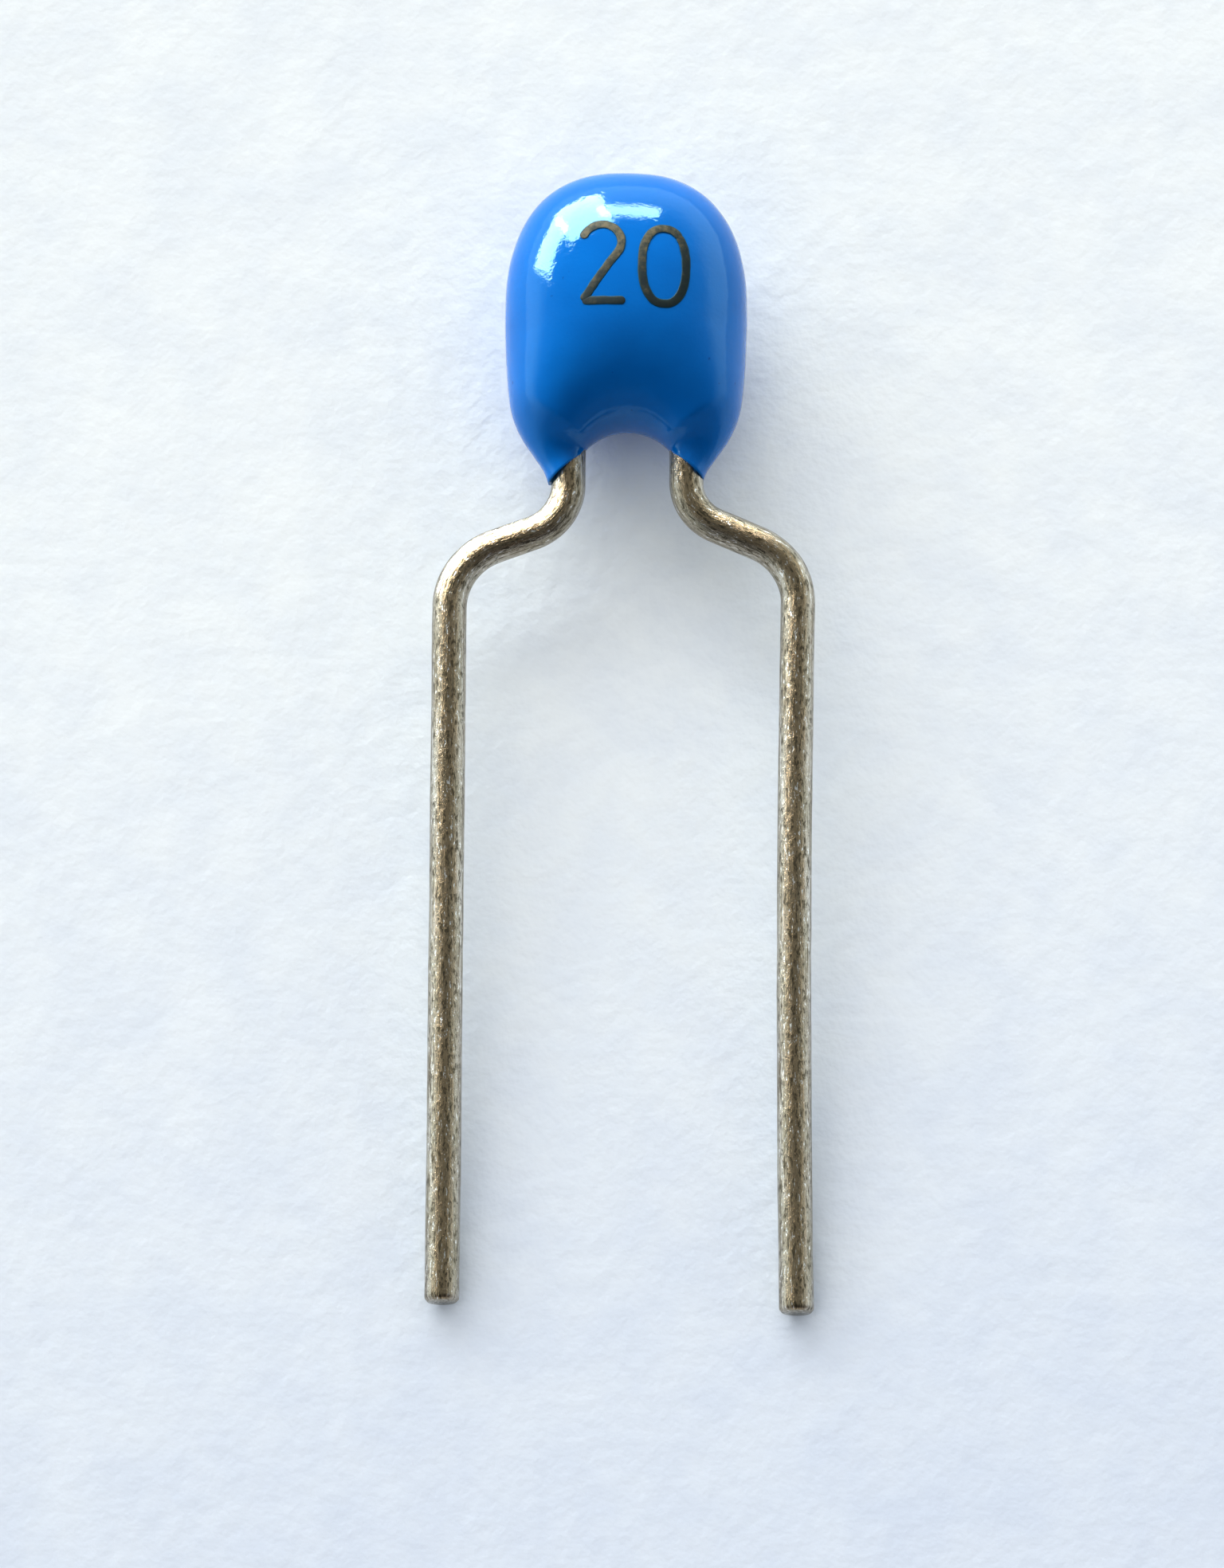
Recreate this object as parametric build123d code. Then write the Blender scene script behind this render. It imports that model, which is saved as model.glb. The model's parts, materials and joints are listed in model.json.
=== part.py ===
"""Radial ceramic disc capacitor: a dipped epoxy coat on a small disc, with two kinked leads.

Everything is drawn flat first: x runs across the leads, y runs up from the leads to the round
top, z points out of the marked face, and the centre of the ceramic disc is the origin. The
finished part is then laid on its back, as it rests on a table on its coat and both lead tips.
"""

import os
from math import asin, atan2, cos, degrees, radians, sin

from build123d import *

# Tinned wire leads, all in millimetres
LEAD_DIAMETER = 0.5
LEAD_PITCH = 5.08           # between the straight ends, two tenths of an inch
LEFT_EXIT_X = -0.83         # wire axis where the left lead leaves the coat
RIGHT_EXIT_X = 0.895
LEFT_KINK_Y = -3.456        # where the wire would turn outwards with a sharp corner
RIGHT_KINK_Y = -3.329
LEFT_KINK_DROP = 0.642      # how far the slanting run falls from corner to corner
RIGHT_KINK_DROP = 0.705
LEFT_KINK_RADIUS = 0.79
RIGHT_KINK_RADIUS = 0.72
OUTER_BEND_RADIUS = 1.0     # where both wires turn down again
LEFT_TIP_Y = -15.12
RIGHT_TIP_Y = -15.24

# Where the wires lie on the disc, inside the coat
WIRE_END_Y = 0.8
JOG_TOP_Y = -1.35
JOG_BOTTOM_Y = -2.25

# Ceramic disc with a silver film on each face
DISC_DIAMETER = 2.9
DISC_THICKNESS = 0.4
ELECTRODE_DIAMETER = 2.6
ELECTRODE_THICKNESS = 0.02

# Bead of solder along each wire
SOLDER_DIAMETER = 0.72
SOLDER_LENGTH = 1.3
SOLDER_FILM = 0.04          # between the wire and the silver

# Dipped epoxy coat
COAT_WIDTH = 3.55
COAT_THICKNESS = 2.4
COAT_TOP_Y = 1.84
DOME_POWER = 2.2            # 2 gives a plain ellipse, more gives squarer shoulders
DOME_ANGLES = (78, 60, 42, 22)  # degrees up the dome, one section at each

# Oval sections of the coat below its widest level: level, width and thickness
BELLY_Y, BELLY_WIDTH, BELLY_THICKNESS = -0.9, 3.52, 2.3
HIP_Y, HIP_WIDTH, HIP_THICKNESS = -1.6, 3.425, 1.94
SKIRT_Y, SKIRT_WIDTH, SKIRT_THICKNESS = -2.15, 3.09, 1.4
ANKLE_Y, ANKLE_WIDTH, ANKLE_THICKNESS = -2.5, 2.65, 1.0
FOOT_Y, FOOT_WIDTH, FOOT_THICKNESS = -2.87, 2.34, 0.68

# Saddle-shaped arch between the skirts, hollowed out like the groove of a pulley
SADDLE_Y = -2.087           # lowest point of the coat between the wires
ARCH_RADIUS = 0.78
ARCH_FLARE = 1.687          # how far the hollow runs out over the face of the coat
THROAT_RADIUS = 0.95        # of the hollow's curl, where it turns over the saddle

# Slanted ends of the two skirts, and the thin skin that wets each wire
SKIRT_END_ANGLE = 38.0      # degrees
LEFT_SKIRT_END_Y = -2.66    # on the wire axis
RIGHT_SKIRT_END_Y = -2.6
WIRE_SKIN = 0.04
SKIN_TOP_Y = -2.25
END_CUT_INWARD = 0.45       # reach of the slanted cut, from the wire axis
END_CUT_OUTWARD = 0.7
END_CUT_DEPTH = 1.0

TILT_ROUNDS = 6             # enough for the resting angle to settle

ARCH_X = (LEFT_EXIT_X + RIGHT_EXIT_X) / 2
ARCH_Y = SADDLE_Y - ARCH_RADIUS
WIRE_OFFSET = DISC_THICKNESS / 2 + ELECTRODE_THICKNESS + SOLDER_FILM + LEAD_DIAMETER / 2


def oval(y, width, thickness):
    """Oval section of the coat at one level, square to the leads."""
    level = Plane(origin=(0, y, 0), x_dir=(1, 0, 0), z_dir=(0, 1, 0))
    back = EllipticalCenterArc((0, 0), width / 2, thickness / 2, 0, arc_size=180)
    front = EllipticalCenterArc((0, 0), width / 2, thickness / 2, 180, arc_size=180)
    return level * Face(Wire([back, front]))


def dome_oval(angle):
    """Section of the round top, as many degrees up the dome as the angle says."""
    up = sin(radians(angle))
    width = COAT_WIDTH * (1 - up**DOME_POWER) ** (1 / DOME_POWER)
    return oval(COAT_TOP_Y * up, width, COAT_THICKNESS * cos(radians(angle)))


def make_pillow():
    """Coat without its arch: a round top that flattens and narrows towards the leads."""
    sections = [Vertex(0, COAT_TOP_Y, 0)]
    sections += [dome_oval(angle) for angle in DOME_ANGLES]
    sections.append(oval(0, COAT_WIDTH, COAT_THICKNESS))
    sections.append(oval(BELLY_Y, BELLY_WIDTH, BELLY_THICKNESS))
    sections.append(oval(HIP_Y, HIP_WIDTH, HIP_THICKNESS))
    sections.append(oval(SKIRT_Y, SKIRT_WIDTH, SKIRT_THICKNESS))
    sections.append(oval(ANKLE_Y, ANKLE_WIDTH, ANKLE_THICKNESS))
    sections.append(oval(FOOT_Y, FOOT_WIDTH, FOOT_THICKNESS))
    return loft(sections)


def make_arch_hollow():
    """Space between the skirts, whose edge curls out over both faces of the coat."""
    half = COAT_THICKNESS / 2
    rim = ARCH_RADIUS + ARCH_FLARE
    run = ARCH_FLARE - THROAT_RADIUS
    face_radius = (run**2 + half**2 - THROAT_RADIUS**2) / (2 * (half - THROAT_RADIUS))
    face_turn = degrees(atan2(run, face_radius - half))
    front = JernArc((rim, half), (-1, 0), face_radius, face_turn)
    throat = JernArc(front @ 1, front % 1, THROAT_RADIUS, 180 - 2 * face_turn)
    back = JernArc(throat @ 1, throat % 1, face_radius, face_turn)
    outer = Polyline(
        back @ 1,
        (rim, -COAT_THICKNESS),
        (0, -COAT_THICKNESS),
        (0, COAT_THICKNESS),
        (rim, COAT_THICKNESS),
        front @ 0,
    )
    profile = Plane.XZ * Face(Wire([*front.edges(), *throat.edges(), *back.edges(), *outer.edges()]))
    return Pos(ARCH_X, ARCH_Y, 0) * revolve(profile, axis=Axis.Z)


def skirt_end_cut(exit_x, end_y, side):
    """Block that trims one skirt on a slant, higher on its inner side."""
    width = END_CUT_INWARD + END_CUT_OUTWARD
    block = Box(width, END_CUT_DEPTH, 2 * COAT_THICKNESS)
    block = Pos(width / 2 - END_CUT_INWARD, -END_CUT_DEPTH / 2, 0) * block
    block = Rot(0, 0, -SKIRT_END_ANGLE) * block
    if side < 0:
        block = mirror(block, about=Plane.YZ)
    return Pos(exit_x, end_y, 0) * block


def wire_skin(exit_x):
    """Thin sleeve of epoxy that runs down a wire."""
    length = SKIN_TOP_Y - FOOT_Y
    sleeve = Rot(90, 0, 0) * Cylinder(LEAD_DIAMETER / 2 + WIRE_SKIN, length)
    return Pos(exit_x, SKIN_TOP_Y - length / 2, 0) * sleeve


def make_coat_blank():
    """Outer form of the coat, before the inner pieces take their room."""
    body = make_pillow() - make_arch_hollow()
    body += wire_skin(LEFT_EXIT_X) + wire_skin(RIGHT_EXIT_X)
    body -= skirt_end_cut(LEFT_EXIT_X, LEFT_SKIRT_END_Y, -1)
    body -= skirt_end_cut(RIGHT_EXIT_X, RIGHT_SKIRT_END_Y, 1)
    return body


def make_lead(side, exit_x, kink_y, kink_drop, kink_radius, tip_y):
    """One wire: along a face of the disc, down through the coat, out at the kink and down."""
    outer_x = side * LEAD_PITCH / 2
    face = -side * WIRE_OFFSET          # the left wire is on the front face
    jog = Polyline(
        (exit_x, WIRE_END_Y, face),
        (exit_x, JOG_TOP_Y, face),
        (exit_x, JOG_BOTTOM_Y, 0),
    )
    kink = FilletPolyline(
        jog @ 1,
        (exit_x, kink_y, 0),
        (outer_x, kink_y - kink_drop, 0),
        (outer_x, tip_y, 0),
        radius=[kink_radius, OUTER_BEND_RADIUS],
    )
    path = Wire([*jog.edges(), *kink.edges()])
    start = Plane(origin=jog @ 0, z_dir=jog % 0)
    return sweep(start * Circle(LEAD_DIAMETER / 2), path=path, transition=Transition.RIGHT)


def make_disc():
    """Round ceramic dielectric."""
    return Cylinder(DISC_DIAMETER / 2, DISC_THICKNESS)


def make_electrode(face):
    """Silver film on the front (1) or back (-1) face of the disc."""
    film = Cylinder(ELECTRODE_DIAMETER / 2, ELECTRODE_THICKNESS)
    return Pos(0, 0, face * (DISC_THICKNESS + ELECTRODE_THICKNESS) / 2) * film


def make_solder(face, exit_x, lead):
    """Bead of solder along a wire, flat where it sits on the electrode."""
    bead = Rot(90, 0, 0) * Cylinder(SOLDER_DIAMETER / 2, SOLDER_LENGTH)
    bead = Pos(exit_x, 0, face * WIRE_OFFSET) * bead
    below = Box(SOLDER_DIAMETER, 2 * SOLDER_LENGTH, DISC_THICKNESS + 2 * ELECTRODE_THICKNESS)
    return bead - Pos(exit_x, 0, 0) * below - lead


def rest_tilt():
    """Angle at which the coat's back and the longer lead's tip touch one flat surface."""
    coat = make_pillow()
    reach = -min(LEFT_TIP_Y, RIGHT_TIP_Y)
    angle = 0.0
    for _ in range(TILT_ROUNDS):
        back_drop = -(Rot(angle, 0, 0) * coat).bounding_box().min.Z
        tip_drop = LEAD_DIAMETER / 2 * cos(radians(angle))
        angle = degrees(asin((back_drop - tip_drop) / reach))
    return angle


left_lead = make_lead(
    -1, LEFT_EXIT_X, LEFT_KINK_Y, LEFT_KINK_DROP, LEFT_KINK_RADIUS, LEFT_TIP_Y
)
right_lead = make_lead(
    1, RIGHT_EXIT_X, RIGHT_KINK_Y, RIGHT_KINK_DROP, RIGHT_KINK_RADIUS, RIGHT_TIP_Y
)
ceramic_disc = make_disc()
front_electrode = make_electrode(1)
back_electrode = make_electrode(-1)
front_solder_joint = make_solder(1, LEFT_EXIT_X, left_lead)
back_solder_joint = make_solder(-1, RIGHT_EXIT_X, right_lead)

inner_pieces = [
    ceramic_disc,
    front_electrode,
    back_electrode,
    front_solder_joint,
    back_solder_joint,
    left_lead,
    right_lead,
]
epoxy_coating = make_coat_blank()
for piece in inner_pieces:
    epoxy_coating -= piece

flat_parts = {
    "epoxy_coating": epoxy_coating,
    "ceramic_disc": ceramic_disc,
    "front_electrode": front_electrode,
    "back_electrode": back_electrode,
    "front_solder_joint": front_solder_joint,
    "back_solder_joint": back_solder_joint,
    "left_lead": left_lead,
    "right_lead": right_lead,
}

# Laid on its back, with the origin under the middle of the whole part
REST_TILT = rest_tilt()
tilted = {name: Rot(REST_TILT, 0, 0) * shape for name, shape in flat_parts.items()}
extent = Compound(list(tilted.values())).bounding_box()
lay_down = Pos(-extent.center().X, -extent.center().Y, -extent.min.Z)
parts = {name: lay_down * shape for name, shape in tilted.items()}

os.makedirs("parts", exist_ok=True)
for name, shape in parts.items():
    export_step(shape, f"parts/{name}.step")
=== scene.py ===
# Small blue ceramic disc capacitor on white paper, laid on its back with its leads towards us
import json
from math import atan2, cos, hypot, pi, radians, sin, sqrt, tan

import bmesh
import bpy
from mathutils import Matrix, Vector, noise


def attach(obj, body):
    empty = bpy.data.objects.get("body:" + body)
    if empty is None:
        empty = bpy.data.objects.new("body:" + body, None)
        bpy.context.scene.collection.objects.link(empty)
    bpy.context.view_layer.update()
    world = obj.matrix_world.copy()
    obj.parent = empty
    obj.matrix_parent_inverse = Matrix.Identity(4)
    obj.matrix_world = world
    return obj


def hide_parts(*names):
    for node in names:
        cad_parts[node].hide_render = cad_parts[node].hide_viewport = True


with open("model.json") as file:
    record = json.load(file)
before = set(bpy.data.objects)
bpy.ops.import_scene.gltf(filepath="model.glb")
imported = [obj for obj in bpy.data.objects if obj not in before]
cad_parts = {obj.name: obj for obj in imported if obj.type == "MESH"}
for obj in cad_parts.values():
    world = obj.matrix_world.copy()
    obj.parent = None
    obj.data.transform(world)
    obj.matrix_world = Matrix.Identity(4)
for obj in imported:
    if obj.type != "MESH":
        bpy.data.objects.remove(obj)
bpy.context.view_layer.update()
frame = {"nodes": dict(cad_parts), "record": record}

# Everything is shaped flat, in millimetres: x across the leads, y up to the round top, z out of
# the marked face, with the centre of the ceramic disc as the origin
MM = 0.001

# Wires
WIRE_RADIUS = 0.25
PITCH = 5.08
WIRE_END_Y = 0.8
WIRE_FACE_Z = 0.51
JOG_TOP_Y, JOG_BOTTOM_Y, JOG_RADIUS = -1.35, -2.25, 0.6
OUTER_BEND_RADIUS = 1.0
LEADS = {
    "left_lead": dict(side=-1, exit_x=-0.83, kink_y=-3.456, drop=0.642, kink_radius=0.79,
                      tip_y=-15.12, bow=0.0),
    "right_lead": dict(side=1, exit_x=0.895, kink_y=-3.329, drop=0.705, kink_radius=0.72,
                       tip_y=-15.24, bow=-0.055),
}

# Epoxy coat
COAT_HALF_WIDTH = 1.775
COAT_HALF_THICKNESS = 1.2
COAT_TOP_Y = 1.84
DOME_POWER = 2.5
BELLY_Y = -0.4
DOME_HEIGHT = COAT_TOP_Y - BELLY_Y
SADDLE_Y = -2.087
ARCH_RADIUS = 0.78
ARCH_X = 0.0325
ARCH_Y = SADDLE_Y - ARCH_RADIUS
BELLY_DEPTH = BELLY_Y - SADDLE_Y

# Half width of the coat from its widest level down, as level and width
SIDE_PROFILE = [
    (BELLY_Y, 1.775), (-0.7, 1.767), (-1.4, 1.735), (-1.85, 1.665), (-2.2, 1.52), (-2.5, 1.325),
    (-2.7, 1.195), (-2.9, 1.12),
]

# Value mark
MARK_LINE = 0.128
MARK_HEIGHT = 0.005
MARK_LIFT = 0.006


def flat_to_table():
    """Matrix that tilts the flat shapes to the resting angle and sets them in the frame."""
    pin = next(m for m in frame["record"]["mounts"] if m["name"] == "left_lead_pin")
    axis = Vector(pin["axis"])
    turn = Matrix.Rotation(atan2(-axis.z, -axis.y), 4, "X")
    lead = LEADS["left_lead"]
    middle_y = lead["tip_y"] + pin["dims"]["length_mm"] / 2
    on_axis = turn @ Vector((-PITCH / 2, middle_y, 0)) * MM
    return Matrix.Translation(Vector(pin["pos_m"]) - on_axis) @ turn @ Matrix.Scale(MM, 4)


TO_TABLE = flat_to_table()


def tube(sides, rings):
    """Straight open tube whose rings are evenly spaced from z = 0 to z = 1."""
    bm = bmesh.new()
    bmesh.ops.create_cone(bm, cap_ends=False, segments=sides, radius1=1, radius2=1, depth=1)
    bmesh.ops.translate(bm, vec=(0, 0, 0.5), verts=bm.verts)
    along = [e for e in bm.edges if abs(e.verts[0].co.z - e.verts[1].co.z) > 0.5]
    bmesh.ops.subdivide_edges(bm, edges=along, cuts=rings - 2, use_grid_fill=True)
    return bm


def close_ends(bm):
    """Fill the open rims of a tube."""
    rims = [e for e in bm.edges if e.is_boundary]
    bmesh.ops.holes_fill(bm, edges=rims, sides=0)


def finish_piece(name, bm, material, replaces=None):
    """Lay a flat shape on the table as an object that rides on the part."""
    bmesh.ops.recalc_face_normals(bm, faces=bm.faces)
    for face in bm.faces:
        face.smooth = True
    bmesh.ops.transform(bm, matrix=TO_TABLE, verts=bm.verts)
    mesh = bpy.data.meshes.new(name)
    bm.to_mesh(mesh)
    bm.free()
    piece = bpy.data.objects.new(name, mesh)
    bpy.context.collection.objects.link(piece)
    mesh.materials.append(material)
    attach(piece, "root")
    if replaces:
        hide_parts(replaces)


def clamp(value):
    """The value, kept between 0 and 1."""
    return min(1.0, max(0.0, value))


def ease(share):
    """Smooth rise from 0 to 1 as the share goes from 0 to 1."""
    return share**2 * (3 - 2 * share)


def smooth_profile(points, level):
    """Smooth curve through points listed from the highest level down, read at one level."""
    if level >= points[0][0]:
        return points[0][1]
    last = len(points) - 1
    for i in range(last):
        (y0, w0), (y1, w1) = points[i], points[i + 1]
        if level >= y1 or i == last - 1:
            before = points[max(i - 1, 0)]
            after = points[min(i + 2, last)]
            slope0 = (w1 - before[1]) / (y1 - before[0]) if i else 0.0
            slope1 = (after[1] - w0) / (after[0] - y0)
            span = y1 - y0
            t = min((level - y0) / span, 1.0)
            return (
                (1 - ease(t)) * w0
                + (t**3 - 2 * t**2 + t) * span * slope0
                + ease(t) * w1
                + (t**3 - t**2) * span * slope1
            )


def half_width(y):
    """Half width of the coat at a level below its widest one."""
    return smooth_profile(SIDE_PROFILE, y)


def coat_height(x, y):
    """Height of the coat's face above the middle plane of the disc."""
    if y >= BELLY_Y:
        across = abs(x) / COAT_HALF_WIDTH
        along = (y - BELLY_Y) / DOME_HEIGHT
        outward = (across**DOME_POWER + along**DOME_POWER) ** (1 / DOME_POWER)
    else:
        outward = abs(x) / half_width(y)
    from_arch = hypot(x - ARCH_X, y - ARCH_Y)
    inward = max(0.0, (ARCH_RADIUS + BELLY_DEPTH - from_arch) / BELLY_DEPTH)
    lens = sqrt(max(0.0, 1 - outward**2))
    pulley = sqrt(max(0.0, 1 - inward**2))
    return COAT_HALF_THICKNESS * lens * pulley


COAT_SIDES = 128
COAT_RINGS = 236
SIDE_SHARE = 0.25
RIGHT_FOOT_Y, LEFT_FOOT_Y = -2.83, -2.90
RIGHT_INNER_ANGLE, LEFT_INNER_ANGLE = radians(33), radians(151)

# Each skirt turns into a sleeve round its wire over this share of the way round the arch
SLEEVE_SHARE = 0.14
SLEEVE_RADIUS = 0.270
SLEEVE_POWER = 0.85
SLEEVE_BLEND = 0.08
FOOT_SKIN = 0.012
EDGE_START, EDGE_RISE = 0.01, 3

# Rolled lip at the end of each sleeve
LIP_RINGS = 5
LIP_SHRINK = 0.2
LIP_DROOP, LIP_DROOP_RATE = 0.012, 1.6

# Unevenness of the dipped skin, as rate and depth, and the levels between which it sets in
SWELL_WAVES = [(1.1, 0.010), (3.1, 0.003)]
SWELL_START_Y, SWELL_FULL_Y = -2.7, -1.5


def rim_point(share):
    """Point on the coat's outline, from the right foot over the dome to the left foot."""
    if share < SIDE_SHARE:
        y = BELLY_Y + (RIGHT_FOOT_Y - BELLY_Y) * (1 - share / SIDE_SHARE)
        return half_width(y), y
    if share > 1 - SIDE_SHARE:
        y = BELLY_Y + (LEFT_FOOT_Y - BELLY_Y) * (1 - (1 - share) / SIDE_SHARE)
        return -half_width(y), y
    angle = pi * (share - SIDE_SHARE) / (1 - 2 * SIDE_SHARE)
    reach = COAT_HALF_WIDTH * abs(cos(angle)) ** (2 / DOME_POWER)
    height = BELLY_Y + DOME_HEIGHT * abs(sin(angle)) ** (2 / DOME_POWER)
    return (reach if angle < pi / 2 else -reach), height


def arch_point(share):
    """Point on the edge of the arch that the same section reaches."""
    angle = RIGHT_INNER_ANGLE + (LEFT_INNER_ANGLE - RIGHT_INNER_ANGLE) * share
    return ARCH_X + ARCH_RADIUS * cos(angle), ARCH_Y + ARCH_RADIUS * sin(angle)


def wire_cover(x, y):
    """Height of the epoxy skin that follows a wire down out of the coat."""
    exit_x = LEADS["right_lead" if x > ARCH_X else "left_lead"]["exit_x"]
    reach = (WIRE_RADIUS + FOOT_SKIN) ** 2 - (x - exit_x) ** 2
    return sqrt(max(0.0, reach))


def soft_max(a, b, blend):
    """The larger of two heights, with a rounded step between them."""
    return (a + b + sqrt((a - b) ** 2 + blend**2)) / 2


def coat_point(share, angle, lip):
    """Point of the coat's skin: share runs round the arch, angle round one section."""
    rim, arch = rim_point(share), arch_point(share)
    inward = (1 - cos(angle)) / 2
    x = rim[0] + (arch[0] - rim[0]) * inward
    y = rim[1] + (arch[1] - rim[1]) * inward
    height = coat_height(x, y)
    near_foot = max(0.0, 1 - min(share, 1 - share) / SLEEVE_SHARE)
    if near_foot > 0:
        edge = sqrt(abs(sin(angle)))
        sleeve = SLEEVE_RADIUS * abs(sin(angle)) ** SLEEVE_POWER
        thin = height + (sleeve - height) * ease(near_foot)
        cover = soft_max(thin, wire_cover(x, y), SLEEVE_BLEND * edge * near_foot)
        height = cover * min(1.0, edge * EDGE_RISE) if edge > EDGE_START else 0.0
    z = height if angle < pi else -height
    if lip > 0:
        exit_x = LEADS["right_lead" if share < 0.5 else "left_lead"]["exit_x"]
        fraction = (exit_x - rim[0]) / (arch[0] - rim[0])
        axis_y = rim[1] + (arch[1] - rim[1]) * fraction
        shrink = 1 - LIP_SHRINK * lip
        droop = LIP_DROOP * sin(pi * min(lip * LIP_DROOP_RATE, 1.0))
        x = exit_x + (x - exit_x) * shrink
        y = axis_y + (y - axis_y) * shrink - droop
        z *= shrink
    return Vector((x, y, z))


def make_coat(material):
    """Dipped coat: one closed tube that runs from foot to foot round the arch."""
    bm = tube(COAT_SIDES, COAT_RINGS)
    for v in bm.verts:
        ring = round(v.co.z * (COAT_RINGS - 1))
        angle = atan2(v.co.y, v.co.x) % (2 * pi)
        from_end = min(ring, COAT_RINGS - 1 - ring)
        lip = max(0, LIP_RINGS - from_end) / LIP_RINGS
        share = (ring - LIP_RINGS) / (COAT_RINGS - 1 - 2 * LIP_RINGS)
        v.co = coat_point(clamp(share), angle, lip)
    close_ends(bm)
    bmesh.ops.recalc_face_normals(bm, faces=bm.faces)
    bm.normal_update()
    for v in bm.verts:
        swell = sum(noise.noise(v.co * rate) * depth for rate, depth in SWELL_WAVES)
        set_in = (v.co.y - SWELL_START_Y) / (SWELL_FULL_Y - SWELL_START_Y)
        v.co += v.normal * swell * clamp(set_in)
    finish_piece("coat_skin", bm, material, "epoxy_coating")


BEND_STEP = 0.03
FEWEST_BEND_STEPS = 4


def rounded_route(corners, radii):
    """Points along straight runs joined by tangent arcs."""
    route = [Vector(corners[0])]
    for i, radius in enumerate(radii, start=1):
        before, here, after = (Vector(c) for c in corners[i - 1:i + 2])
        inward, outward = (before - here).normalized(), (after - here).normalized()
        turn = pi - inward.angle(outward)
        reach = radius * tan(turn / 2)
        centre = here + (inward + outward).normalized() * hypot(radius, reach)
        start = here + inward * reach
        axis = (start - centre).cross(here + outward * reach - centre).normalized()
        steps = max(FEWEST_BEND_STEPS, round(radius * turn / BEND_STEP))
        for k in range(steps + 1):
            spoke = Matrix.Rotation(turn * k / steps, 3, axis) @ (start - centre)
            route.append(centre + spoke)
    route.append(Vector(corners[-1]))
    return route


def evenly(route, count):
    """Points and directions at even distances along a route, with the distance to each."""
    lengths = [0.0]
    for a, b in zip(route, route[1:]):
        lengths.append(lengths[-1] + (b - a).length)
    places = []
    leg = 0
    for i in range(count):
        target = lengths[-1] * i / (count - 1)
        while leg < len(route) - 2 and lengths[leg + 1] < target:
            leg += 1
        span = lengths[leg + 1] - lengths[leg]
        t = (target - lengths[leg]) / span
        point = route[leg].lerp(route[leg + 1], min(t, 1.0))
        places.append([point, (route[leg + 1] - route[leg]).normalized(), target])
    for i in range(1, count - 1):
        places[i][1] = (places[i + 1][0] - places[i - 1][0]).normalized()
    return places


WIRE_SIDES = 40
WIRE_RINGS = 420

# Unevenness of the drawn wire: its rates round and along the wire, and the depths of its long
# waves and short ripples
WAVE_ROUND, WAVE_ALONG, WAVE_DEPTH = 0.5, 0.9, 0.006
RIPPLE_RATE, RIPPLE_DEPTH = 3.7, 0.003
WAVE_APART = 31

# Rounding of the cut end
CUT_LENGTH, CUT_TAPER = 0.06, 0.16


def make_lead(name, material):
    """Drawn wire with its jog inside the coat, its kink and its cut end."""
    lead = LEADS[name]
    side, exit_x, kink_y = lead["side"], lead["exit_x"], lead["kink_y"]
    face = -side * WIRE_FACE_Z
    outer_y = kink_y - lead["drop"]
    route = rounded_route(
        [
            (exit_x, WIRE_END_Y, face),
            (exit_x, JOG_TOP_Y, face),
            (exit_x, JOG_BOTTOM_Y, 0),
            (exit_x, kink_y, 0),
            (side * PITCH / 2, outer_y, 0),
            (side * PITCH / 2, lead["tip_y"], 0),
        ],
        [JOG_RADIUS, JOG_RADIUS, lead["kink_radius"], OUTER_BEND_RADIUS],
    )
    places = evenly(route, WIRE_RINGS)
    length = places[-1][2]
    bm = tube(WIRE_SIDES, WIRE_RINGS)
    grain = bm.verts.layers.float_vector.new("wire_grain")
    front = Vector((0, 0, 1))
    for v in bm.verts:
        ring = round(v.co.z * (WIRE_RINGS - 1))
        angle = atan2(v.co.y, v.co.x)
        point, heading, along = places[ring]
        across = heading.cross(front).normalized()
        raised = across.cross(heading)
        seed = Vector((cos(angle) * WAVE_ROUND, sin(angle) * WAVE_ROUND,
                       along * WAVE_ALONG + side * WAVE_APART))
        radius = (WIRE_RADIUS + WAVE_DEPTH * noise.noise(seed)
                  + RIPPLE_DEPTH * noise.noise(seed * RIPPLE_RATE))
        to_tip = length - along
        if to_tip < CUT_LENGTH:
            radius *= 1 - CUT_TAPER * (1 - to_tip / CUT_LENGTH) ** 2
        v[grain] = Vector((cos(angle), sin(angle), along))
        v.co = point + (across * cos(angle) + raised * sin(angle)) * radius
        below = (outer_y - v.co.y) / (outer_y - lead["tip_y"])
        if 0 < below < 1:
            v.co.x += lead["bow"] * sin(pi * below)
    close_ends(bm)
    finish_piece(name + "_wire", bm, material, name)


TWO_HOOK = (-0.362, 0.470)
TWO_HOOK_RADIUS = 0.285
TWO_HOOK_START, TWO_HOOK_END = radians(168), radians(-36)
TWO_HOOK_STEPS = 40
TWO_CORNER = (-0.645, -0.448)
TWO_BASE_END = (-0.015, -0.462)
ZERO_CENTRE = (0.545, 0.105)
ZERO_HALF_WIDTH, ZERO_HALF_HEIGHT, ZERO_POWER = 0.322, 0.595, 2.3
ZERO_START, ZERO_STEPS, ZERO_OVERLAP = 0.8, 96, 2


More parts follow.
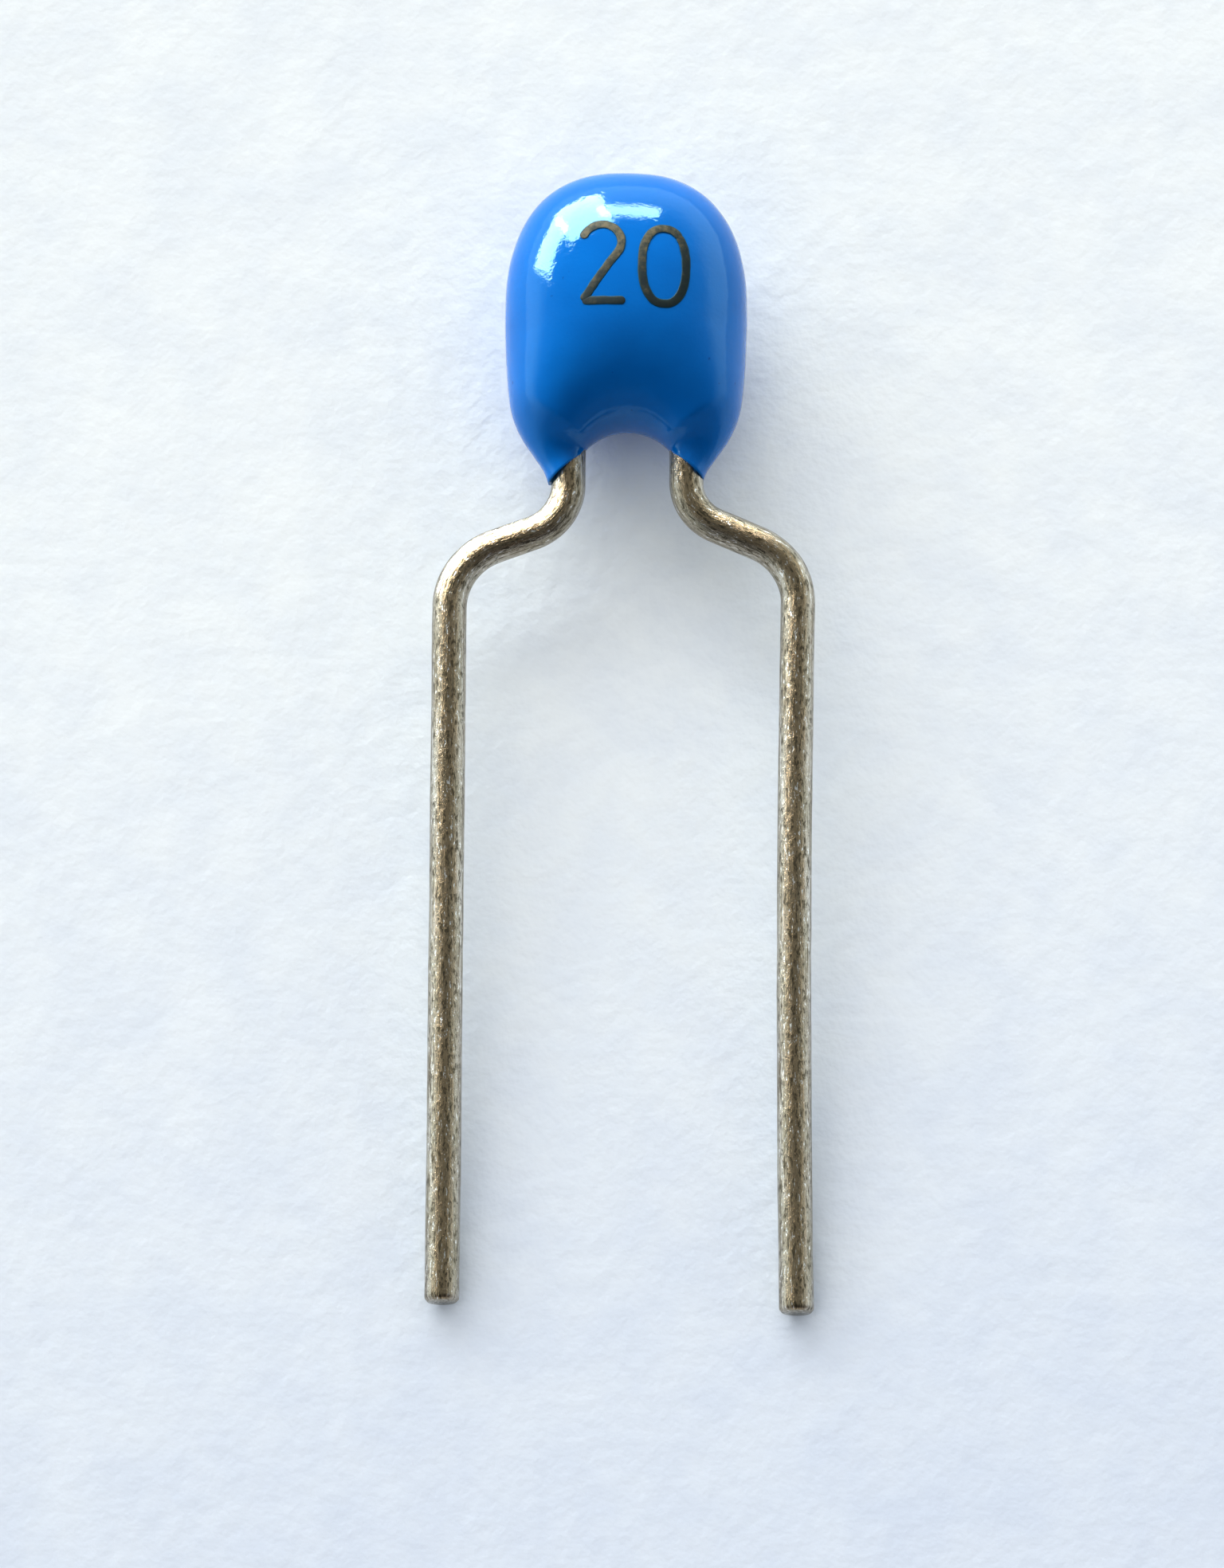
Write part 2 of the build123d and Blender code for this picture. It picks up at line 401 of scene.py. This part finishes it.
def mark_strokes():
    """Centre lines of the two figures, as lists of flat points."""
    hook = []
    for k in range(TWO_HOOK_STEPS + 1):
        angle = TWO_HOOK_START + (TWO_HOOK_END - TWO_HOOK_START) * k / TWO_HOOK_STEPS
        hook.append((TWO_HOOK[0] + TWO_HOOK_RADIUS * cos(angle),
                     TWO_HOOK[1] + TWO_HOOK_RADIUS * sin(angle)))
    hook.append(TWO_CORNER)
    base = [TWO_CORNER, TWO_BASE_END]
    zero = []
    for k in range(ZERO_STEPS + ZERO_OVERLAP + 1):
        angle = 2 * pi * k / ZERO_STEPS + ZERO_START
        c, s = cos(angle), sin(angle)
        width = ZERO_HALF_WIDTH * abs(c) ** (2 / ZERO_POWER)
        height = ZERO_HALF_HEIGHT * abs(s) ** (2 / ZERO_POWER)
        zero.append((ZERO_CENTRE[0] + (width if c > 0 else -width),
                     ZERO_CENTRE[1] + (height if s > 0 else -height)))
    return [hook, base, zero]


MARK_SIDES = 12
MARK_RINGS = 120
LEAST_TAPER = 0.02

# Ragged edge of the strokes: its rates along and across one, the gap between two, and its depth
RAGGED_ALONG, RAGGED_ACROSS, RAGGED_APART, RAGGED_DEPTH = 9, 0.6, 7, 0.10

# How much more the ink is painted lighter and golden towards the left than towards the right, as
# a painted highlight where the window's glare falls on the mark
SHEEN_SLANT = 0.35


def make_mark(material):
    """The value, 20, as flat lines of ink that follow the dome."""
    whole = bmesh.new()
    for number, stroke in enumerate(mark_strokes()):
        route = [Vector((x, y, 0)) for x, y in stroke]
        places = evenly(route, MARK_RINGS)
        length = places[-1][2]
        bm = tube(MARK_SIDES, MARK_RINGS)
        sheen_and_edge = bm.verts.layers.float_vector.new("ink_sheen_and_edge")
        for v in bm.verts:
            ring = round(v.co.z * (MARK_RINGS - 1))
            angle = atan2(v.co.y, v.co.x)
            point, heading, along = places[ring]
            across = Vector((heading.y, -heading.x, 0))
            end = min(along, length - along) / (MARK_LINE / 2)
            taper = sqrt(max(LEAST_TAPER, 1 - (1 - min(end, 1)) ** 2))
            seed = Vector((along * RAGGED_ALONG, cos(angle) * RAGGED_ACROSS,
                           number * RAGGED_APART))
            ragged = 1 + RAGGED_DEPTH * noise.noise(seed)
            spot = point + across * cos(angle) * MARK_LINE / 2 * taper * ragged
            ground = coat_height(spot.x, spot.y) + MARK_LIFT
            # The first value leans the painted highlight on the ink towards its upper left; the
            # second tells where the point lies across the stroke
            height = (spot.y - TWO_BASE_END[1]) / (2 * ZERO_HALF_HEIGHT)
            v[sheen_and_edge] = Vector((height - SHEEN_SLANT * spot.x, abs(cos(angle)), along))
            v.co = Vector((spot.x, spot.y, ground + sin(angle) * MARK_HEIGHT * taper))
        close_ends(bm)
        joined = bpy.data.meshes.new("stroke")
        bm.to_mesh(joined)
        bm.free()
        whole.from_mesh(joined)
        bpy.data.meshes.remove(joined)
    finish_piece("value_mark", whole, material)


class Nodes:
    """Small helper that adds, sets and links shader nodes."""

    def __init__(self, tree):
        self.tree = tree

    def feed(self, node, inputs):
        """Link an output to each named input of a node, or set a plain value on it."""
        for key, value in inputs.items():
            socket = node.inputs[key]
            if isinstance(value, bpy.types.NodeSocket):
                self.tree.links.new(value, socket)
            elif socket.type == "RGBA":
                socket.default_value = (*value, 1)
            else:
                socket.default_value = value

    def add(self, kind, inputs=None, **settings):
        """New node of one kind, with its settings made and its inputs fed."""
        node = self.tree.nodes.new(kind)
        for key, value in settings.items():
            setattr(node, key, value)
        self.feed(node, inputs or {})
        return node

    def place(self):
        """Position in the piece's own coordinates."""
        return self.add("ShaderNodeTexCoord").outputs["Object"]

    def attribute(self, name):
        """Vector stored on the piece's points."""
        return self.add("ShaderNodeAttribute", attribute_name=name).outputs["Vector"]

    def split(self, vector):
        """The X, Y and Z of a vector."""
        return self.add("ShaderNodeSeparateXYZ", {0: vector}).outputs

    def reach(self, vector, way):
        """How far a vector reaches along a fixed direction."""
        return self.add("ShaderNodeVectorMath", {0: vector, 1: way},
                        operation="DOT_PRODUCT").outputs["Value"]

    def stretched(self, vector, scale):
        """A vector scaled along each of its axes."""
        return self.add("ShaderNodeMapping", {"Vector": vector, "Scale": scale}).outputs[0]

    def noise(self, vector, scale, detail=3.0, roughness=0.55):
        """Soft random pattern from 0 to 1."""
        return self.add("ShaderNodeTexNoise", {
            "Vector": vector, "Scale": scale, "Detail": detail,
            "Roughness": roughness}).outputs["Fac"]

    def number(self, operation, *values):
        """Result of a sum on plain numbers or outputs."""
        return self.add("ShaderNodeMath", dict(enumerate(values)), operation=operation).outputs[0]

    def ramp(self, factor, stops):
        """Colour read between stops, each of them a position and a colour."""
        node = self.add("ShaderNodeValToRGB", {"Fac": factor})
        elements = node.color_ramp.elements
        while len(elements) < len(stops):
            elements.new(0.5)
        for element, (position, colour) in zip(elements, stops):
            element.position = position
            element.color = (*colour, 1)
        return node.outputs["Color"]

    def blend(self, factor, a, b, kind="MIX"):
        """Mixture of two colours."""
        return self.add("ShaderNodeMix", {0: factor, 6: a, 7: b}, data_type="RGBA",
                        blend_type=kind).outputs[2]

    def bump(self, height, strength, depth):
        """Slight relief whose depth is in metres."""
        return self.add("ShaderNodeBump", {
            "Height": height, "Strength": strength, "Distance": depth}).outputs[0]


def grey(level):
    """Colour whose three parts are the same."""
    return (level,) * 3


def new_material(name):
    """Empty finish, as the material, its nodes and its main shader."""
    material = bpy.data.materials.new(name)
    material.use_nodes = True
    nodes = Nodes(material.node_tree)
    return material, nodes, material.node_tree.nodes["Principled BSDF"]


def blue_epoxy():
    """Glossy blue dipped epoxy with a faint orange peel and fine pits."""
    material, nodes, shader = new_material("blue_epoxy")
    place = nodes.place()
    blue = nodes.ramp(nodes.noise(place, 700), [
        (0.3, (0.0, 0.138, 0.54)), (0.7, (0.0, 0.165, 0.62))])
    pits = nodes.ramp(nodes.noise(place, 7800, 1.0), [(0.77, grey(0)), (0.83, grey(0.7))])
    rough = nodes.ramp(nodes.noise(place, 1900), [(0.3, grey(0.04)), (0.8, grey(0.10))])
    peel = nodes.blend(0.45, nodes.noise(place, 2400), nodes.noise(place, 14000, 2.0))
    nodes.feed(shader, {
        "Base Color": nodes.blend(pits, blue, (0.0, 0.06, 0.30)),
        "Roughness": rough,
        "Normal": nodes.bump(peel, 0.4, 0.000012),
        "IOR": 1.42,
        "Specular Tint": (0.48, 0.96, 1.0),
    })
    return material


def mark_ink():
    """Scorched olive-brown marking with a greenish edge, painted lighter and golden towards its
    upper left as a painted highlight, with random worn patches.
    """
    material, nodes, shader = new_material("mark_ink")
    place = nodes.place()
    sheen_and_edge = nodes.split(nodes.attribute("ink_sheen_and_edge"))
    grain = nodes.noise(place, 11000, 3.0, 0.7)
    patches = nodes.noise(place, 4200)
    dark = nodes.ramp(grain, [(0.35, (0.000, 0.010, 0.014)), (0.65, (0.005, 0.015, 0.012))])
    wear_and_sheen = nodes.ramp(grain, [(0.35, (0.010, 0.020, 0.012)), (0.65, (0.14, 0.11, 0.05))])
    # Painted highlight: the ink is painted golden towards its upper left, and the noise adds
    # random worn patches
    share = nodes.number("ADD", nodes.number("MULTIPLY", sheen_and_edge["X"], 0.55),
                         nodes.number("MULTIPLY", patches, 1.1))
    share = nodes.ramp(share, [(0.68, grey(0)), (1.0, grey(1))])
    fringe = nodes.ramp(sheen_and_edge["Y"], [(0.72, grey(0)), (0.95, grey(0.85))])
    colour = nodes.blend(share, dark, wear_and_sheen)
    nodes.feed(shader, {
        "Base Color": nodes.blend(fringe, colour, (0.0, 0.060, 0.080)),
        "Roughness": 0.6,
        "Normal": nodes.bump(grain, 0.4, 0.00001),
        "Specular IOR Level": 0.15,
    })
    return material


def tinned_wire():
    """Drawn tinned wire: streaks along its length, grey-brown tarnish, bright scuffs, and a
    painted dark reflection as a brown band along its top.
    """
    material, nodes, shader = new_material("tinned_wire")
    grain = nodes.attribute("wire_grain")
    upward = nodes.split(grain)["Y"]
    streaks = nodes.noise(nodes.stretched(grain, (3.0, 3.0, 0.5)), 1.8, 5.0, 0.7)
    dashes = nodes.noise(nodes.stretched(grain, (1.0, 1.0, 1.3)), 5.5, 4.0, 0.7)
    patches = nodes.noise(nodes.stretched(grain, (1.0, 1.0, 0.55)), 1.3, 4.0, 0.6)
    metal = nodes.ramp(streaks, [
        (0.34, (0.18, 0.14, 0.085)), (0.46, (0.40, 0.345, 0.265)),
        (0.56, (0.52, 0.475, 0.395)), (0.68, (0.78, 0.75, 0.69))])
    tarnish = nodes.ramp(patches, [(0.38, grey(0)), (0.64, grey(0.5))])
    # Painted dark reflection: a brown band along the top of the wire, where it faces the dark
    # room above
    dark_top_reflection = nodes.number("ADD", upward, nodes.number("MULTIPLY", streaks, 0.9))
    dark_top_reflection = nodes.add("ShaderNodeMapRange", {
        "Value": dark_top_reflection, "From Min": 1.22, "From Max": 1.42}).outputs[0]
    scratches = nodes.ramp(dashes, [(0.53, grey(0)), (0.61, grey(0.85))])
    scuffs = nodes.ramp(dashes, [(0.34, grey(0.9)), (0.40, grey(0))])
    colour = nodes.blend(tarnish, metal, (0.34, 0.31, 0.22))
    colour = nodes.blend(nodes.number("MULTIPLY", dark_top_reflection, 0.85), colour, (0.34, 0.235, 0.125))
    colour = nodes.blend(scratches, colour, (0.07, 0.055, 0.03))
    colour = nodes.blend(scuffs, colour, (0.92, 0.90, 0.86))
    rough = nodes.ramp(nodes.blend(0.5, dashes, patches), [(0.3, grey(0.12)), (0.7, grey(0.26))])
    nodes.feed(shader, {
        "Base Color": colour,
        "Metallic": 1.0,
        "Roughness": rough,
        "Normal": nodes.bump(nodes.blend(0.6, streaks, dashes), 0.7, 0.00003),
    })
    return material


def fine_grained(name, dark, light, scale, roughness, metallic):
    """Finish with a fine mottled grain, for a piece that the coat hides."""
    material, nodes, shader = new_material(name)
    grain = nodes.noise(nodes.place(), scale, 4.0)
    nodes.feed(shader, {
        "Base Color": nodes.ramp(grain, [(0.3, dark), (0.7, light)]),
        "Metallic": metallic,
        "Roughness": roughness,
        "Normal": nodes.bump(grain, 0.3, 0.00001),
    })
    return material


def fired_ceramic():
    """Pale tan ceramic of the disc."""
    return fine_grained("fired_ceramic", (0.50, 0.42, 0.31), (0.66, 0.58, 0.45), 6000, 0.6, 0.0)


def fired_silver():
    """Silver film of the electrodes."""
    return fine_grained("fired_silver", (0.66, 0.64, 0.60), (0.84, 0.83, 0.80), 7000, 0.45, 1.0)


def set_solder():
    """Solder of the joints."""
    return fine_grained("solder", (0.48, 0.48, 0.48), (0.72, 0.72, 0.71), 3000, 0.3, 1.0)


def dress_inner_pieces():
    """Give the pieces that the coat hides their finishes."""
    silver = fired_silver()
    solder = set_solder()
    finishes = {
        "ceramic_disc": fired_ceramic(),
        "front_electrode": silver,
        "back_electrode": silver,
        "front_solder_joint": solder,
        "back_solder_joint": solder,
    }
    for name, material in finishes.items():
        node = frame["nodes"][name]
        node.data.materials.clear()
        node.data.materials.append(material)


# Camera as the photograph was taken: nearly straight down, from the lead side
PHOTO_HEIGHT = 1968
PIXELS_PER_MM = 86.6
CAMERA_TILT = radians(15.0)
CAMERA_ROLL = radians(-0.42)
CAMERA_DISTANCE = 165.0
TARGET = Vector((-0.158, -7.427, 0.0))
SENSOR = 36.0
CLIP_START, CLIP_END = 0.001, 10


def make_camera():
    """Camera turned from the flat shapes' axes, rolled a little, and set at its distance."""
    data = bpy.data.cameras.new("camera")
    camera = bpy.data.objects.new("camera", data)
    bpy.context.collection.objects.link(camera)
    toward = Vector((0, -sin(CAMERA_TILT), cos(CAMERA_TILT)))
    up = Vector((0, cos(CAMERA_TILT), sin(CAMERA_TILT)))
    right = Vector((cos(CAMERA_ROLL), 0, 0)) - sin(CAMERA_ROLL) * up
    up = Vector((sin(CAMERA_ROLL), 0, 0)) + cos(CAMERA_ROLL) * up
    turn = TO_TABLE.to_3x3().normalized()
    axes = Matrix((turn @ right, turn @ up, turn @ toward)).transposed()
    place = TO_TABLE @ (TARGET + toward * CAMERA_DISTANCE)
    camera.matrix_world = Matrix.Translation(place) @ axes.to_4x4()
    data.sensor_width = SENSOR
    data.sensor_fit = "AUTO"
    data.lens = SENSOR * PIXELS_PER_MM * CAMERA_DISTANCE / PHOTO_HEIGHT
    data.clip_start = CLIP_START
    data.clip_end = CLIP_END
    bpy.context.scene.camera = camera


# White paper: its lit colours and its glow, each painted bright towards the window and painted
# dim away from it as painted light, and the direction and the levels, in metres, between which it
# fades
PAPER_REACH = 0.6
PAPER_BRIGHT = (0.84, 0.88, 0.90)
PAPER_DIM = (0.66, 0.72, 0.82)
GLOW_BRIGHT = (0.97, 1.0, 1.0)
GLOW_DIM = (0.79, 0.85, 0.95)
GLOW_SHARE = 0.62
PAPER_FADE_WAY = (-0.25, 0.97, 0)
PAPER_FADE_TOP, PAPER_FADE_BOTTOM = 0.008, -0.017
PAPER_CLOUDS = 0.5

# Soft shade on the paper close to the part
SHADE_REACH = 0.0035
SHADE_SAMPLES = 4
SHADE_POWER = 2.2


def white_paper():
    """White paper, painted a little brighter towards the window as painted light."""
    material, nodes, shader = new_material("paper")
    place = nodes.place()
    # Painted light: the paper's colour fades from bright towards the window to dim away from it
    fade = nodes.add("ShaderNodeMapRange", {
        "Value": nodes.reach(place, PAPER_FADE_WAY), "From Min": PAPER_FADE_BOTTOM,
        "From Max": PAPER_FADE_TOP}, interpolation_type="SMOOTHSTEP").outputs[0]
    clouds = nodes.noise(place, 170, 3.0, 0.5)
    fade = nodes.number("MULTIPLY_ADD", clouds, PAPER_CLOUDS, fade)
    fade = nodes.number("SUBTRACT", fade, PAPER_CLOUDS / 2)
    blotches = nodes.ramp(nodes.noise(place, 850, 4.0, 0.6), [
        (0.36, (0.94, 0.95, 0.975)), (0.62, grey(1))])
    lit = nodes.blend(1.0, nodes.blend(fade, PAPER_DIM, PAPER_BRIGHT), blotches, "MULTIPLY")
    glowing = nodes.blend(1.0, nodes.blend(fade, GLOW_DIM, GLOW_BRIGHT), blotches, "MULTIPLY")
    fibre = nodes.blend(0.4, nodes.noise(place, 900, 4.0, 0.6), nodes.noise(place, 3600))
    nodes.feed(shader, {
        "Base Color": lit,
        "Roughness": 0.9,
        "Normal": nodes.bump(fibre, 0.6, 0.00008),
        "Specular IOR Level": 0.2,
    })
    path = nodes.add("ShaderNodeLightPath").outputs
    seen = nodes.number("MAXIMUM", path["Is Glossy Ray"], path["Is Transmission Ray"])
    seen = nodes.number("MAXIMUM", path["Is Camera Ray"], seen)
    open_sky = nodes.add("ShaderNodeAmbientOcclusion", {"Distance": SHADE_REACH},
                         samples=SHADE_SAMPLES).outputs["AO"]
    share = nodes.number("MULTIPLY", GLOW_SHARE, nodes.number("POWER", open_sky, SHADE_POWER))
    share = nodes.number("MULTIPLY", seen, share)
    glow = nodes.add("ShaderNodeEmission", {"Color": glowing, "Strength": 1.0}).outputs[0]
    surface = nodes.add("ShaderNodeMixShader", {
        0: share, 1: shader.outputs[0], 2: glow}).outputs[0]
    nodes.feed(nodes.tree.nodes["Material Output"], {"Surface": surface})
    return material


def paper_floor():
    """Sheet of paper that the part lies on."""
    bm = bmesh.new()
    bmesh.ops.create_grid(bm, x_segments=1, y_segments=1, size=PAPER_REACH)
    mesh = bpy.data.meshes.new("paper")
    bm.to_mesh(mesh)
    bm.free()
    floor = bpy.data.objects.new("paper", mesh)
    bpy.context.collection.objects.link(floor)
    mesh.materials.append(white_paper())


# Windows beyond the round top, as azimuths from the round top's side towards the right and
# elevations, in degrees, with a brightness. The last three show only as glare on the part, and
# hang a little nearer than the others, because two at one place would hide each other
LIGHT_DISTANCE = 0.7
GLARE_DISTANCE = 0.679
WINDOW_COLOUR = (0.96, 0.99, 1.0)
WINDOWS = [
    ("window", (-39, -8), (10, 41), 8.0, False),
    ("window_far", (-64, -38), (12, 31), 8.0, False),
    ("window_side", (-9, 13), (25, 35), 8.0, False),
    ("window_glare", (-40, -8), (10, 40), 22.0, True),
    ("window_far_glare", (-62, -38), (13, 31), 22.0, True),
    ("window_side_glare", (-9, 13), (25, 34), 18.0, True),
]

# Light of the rest of the room
ROOM_BRIGHT_WAY = (-0.2, 0.98, 0)
ROOM_STRENGTH = 2.4


def direction(azimuth, elevation):
    """Unit vector of an azimuth and an elevation in degrees."""
    a, e = radians(azimuth), radians(elevation)
    return Vector((sin(a) * cos(e), cos(a) * cos(e), sin(e)))


def window(name, azimuths, elevations, brightness, glare_only):
    """Bright rectangle that fills a range of directions, as seen from the part."""
    centre = direction(sum(azimuths) / 2, sum(elevations) / 2)
    data = bpy.data.lights.new(name, "AREA")
    data.shape = "RECTANGLE"
    data.size = 2 * LIGHT_DISTANCE * tan(radians(azimuths[1] - azimuths[0]) / 2)
    data.size_y = 2 * LIGHT_DISTANCE * tan(radians(elevations[1] - elevations[0]) / 2)
    data.energy = brightness * pi * data.size * data.size_y
    data.color = WINDOW_COLOUR
    lamp = bpy.data.objects.new(name, data)
    bpy.context.collection.objects.link(lamp)
    lamp.visible_diffuse = not glare_only
    lamp.location = centre * (GLARE_DISTANCE if glare_only else LIGHT_DISTANCE)
    lamp.rotation_euler = (-centre).to_track_quat("-Z", "Y").to_euler()


def room():
    """Room that is bright beyond the round top and dark above the part."""
    world = bpy.data.worlds.new("room")
    bpy.context.scene.world = world
    world.use_nodes = True
    nodes = Nodes(world.node_tree)
    sky = nodes.add("ShaderNodeTexCoord").outputs["Generated"]
    side = nodes.ramp(nodes.number("MULTIPLY_ADD", nodes.reach(sky, ROOM_BRIGHT_WAY), 0.5, 0.5), [
        (0.15, (0.09, 0.09, 0.10)), (0.40, (0.50, 0.56, 0.60)), (0.64, (0.86, 0.97, 1.0))])
    above = nodes.ramp(nodes.split(sky)["Z"], [
        (0.0, grey(1)), (0.30, grey(0.95)), (0.50, grey(0.30)), (0.72, grey(0.16)),
        (0.95, grey(0.13))])
    nodes.feed(nodes.tree.nodes["Background"], {
        "Color": nodes.blend(1.0, side, above, "MULTIPLY"),
        "Strength": ROOM_STRENGTH,
    })


def light_the_table():
    """The windows and the light of the room."""
    for pane in WINDOWS:
        window(*pane)
    room()


make_camera()
paper_floor()
light_the_table()
make_coat(blue_epoxy())
wire = tinned_wire()
for lead_name in LEADS:
    make_lead(lead_name, wire)
make_mark(mark_ink())
dress_inner_pieces()
bpy.context.scene.view_settings.view_transform = "Standard"
